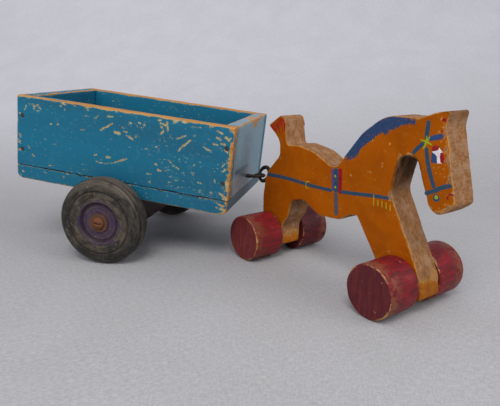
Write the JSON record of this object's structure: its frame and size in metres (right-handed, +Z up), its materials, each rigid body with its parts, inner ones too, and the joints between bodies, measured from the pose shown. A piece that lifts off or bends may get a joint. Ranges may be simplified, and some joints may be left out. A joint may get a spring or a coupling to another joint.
{
  "type": "toy horse and cart",
  "caption": "Flat wooden toy horse on rollers, hooked by its rump to a nailed open box cart with turned wheels.",
  "frame": {"origin": "centre of the whole toy's bounding box, on the floor it stands on", "axes": "+X runs along the cart from its tail to the nose where the horse is hooked on; +Y is to the left of the cart's direction of travel; +Z is up. The near pieces are on the -Y side and the far pieces on the +Y side. The horse stands turned about the hook, with its head towards -Y."},
  "size_m": [0.328, 0.204, 0.1212],
  "materials": {
    "blue_paint": "worn blue paint over wood, bare at the edges",
    "beam_paint": "dull dark red paint",
    "wheel_paint": "worn near-black paint on turned wood",
    "orange_paint": "satin orange paint, painted harness, sanded edges left bare",
    "red_paint": "satin dark red paint showing the grain",
    "bare_wood": "bare turned wood",
    "dark_wire": "dark tarnished steel wire",
    "rusty_steel": "rusty steel",
    "nail_steel": "rusty nail head"
  },
  "bodies": {
    "cart": {"bed_board": "blue_paint", "near_side_board": "blue_paint", "far_side_board": "blue_paint", "tail_board": "blue_paint", "nose_board": "blue_paint", "axle_beam": "beam_paint", "cart_hook": "dark_wire", "near_washer": "rusty_steel", "far_washer": "rusty_steel", "near_wheel_screw": "rusty_steel", "far_wheel_screw": "rusty_steel", "near_tail_nail_low": "nail_steel", "near_tail_nail_high": "nail_steel", "near_nose_nail_low": "nail_steel", "near_nose_nail_high": "nail_steel", "far_tail_nail_low": "nail_steel", "far_tail_nail_high": "nail_steel", "far_nose_nail_low": "nail_steel", "far_nose_nail_high": "nail_steel", "bed_nail_near_tail": "nail_steel", "bed_nail_near_nose": "nail_steel", "bed_nail_far_tail": "nail_steel", "bed_nail_far_nose": "nail_steel", "tail_bed_nail_near": "nail_steel", "tail_bed_nail_far": "nail_steel", "nose_bed_nail_near": "nail_steel", "nose_bed_nail_far": "nail_steel", "beam_nail_near": "nail_steel", "beam_nail_far": "nail_steel"},
    "near_wheel": {"near_wheel": "wheel_paint"},
    "far_wheel": {"far_wheel": "wheel_paint"},
    "horse": {"horse_body": "orange_paint", "rump_eye": "dark_wire"},
    "rear_axle": {"rear_dowel": "bare_wood", "rear_near_roller": "red_paint", "rear_far_roller": "red_paint"},
    "front_axle": {"front_dowel": "bare_wood", "front_near_roller": "red_paint", "front_far_roller": "red_paint"}
  },
  "joints": [
    {"name": "near_wheel_spin", "type": "hinge", "parent": "cart", "child": "near_wheel", "pos_m": [-0.08535, -0.03396, 0.03175], "axis": [0, 1, 0], "continuous": true},
    {"name": "far_wheel_spin", "type": "hinge", "parent": "cart", "child": "far_wheel", "pos_m": [-0.08535, 0.08104, 0.03175], "axis": [0, 1, 0], "continuous": true},
    {"name": "horse_swing", "type": "hinge", "parent": "cart", "child": "horse", "pos_m": [0.01572, 0.02714, 0.0566], "axis": [0, 0, 1], "range_deg": [-30, 109]},
    {"name": "rear_axle_spin", "type": "hinge", "parent": "horse", "child": "rear_axle", "pos_m": [0.03556, 0.01195, 0.017], "axis": [0.632, 0.7749, 0], "continuous": true},
    {"name": "front_axle_spin", "type": "hinge", "parent": "horse", "child": "front_axle", "pos_m": [0.12856, -0.06389, 0.017], "axis": [0.632, 0.7749, 0], "continuous": true}
  ]
}
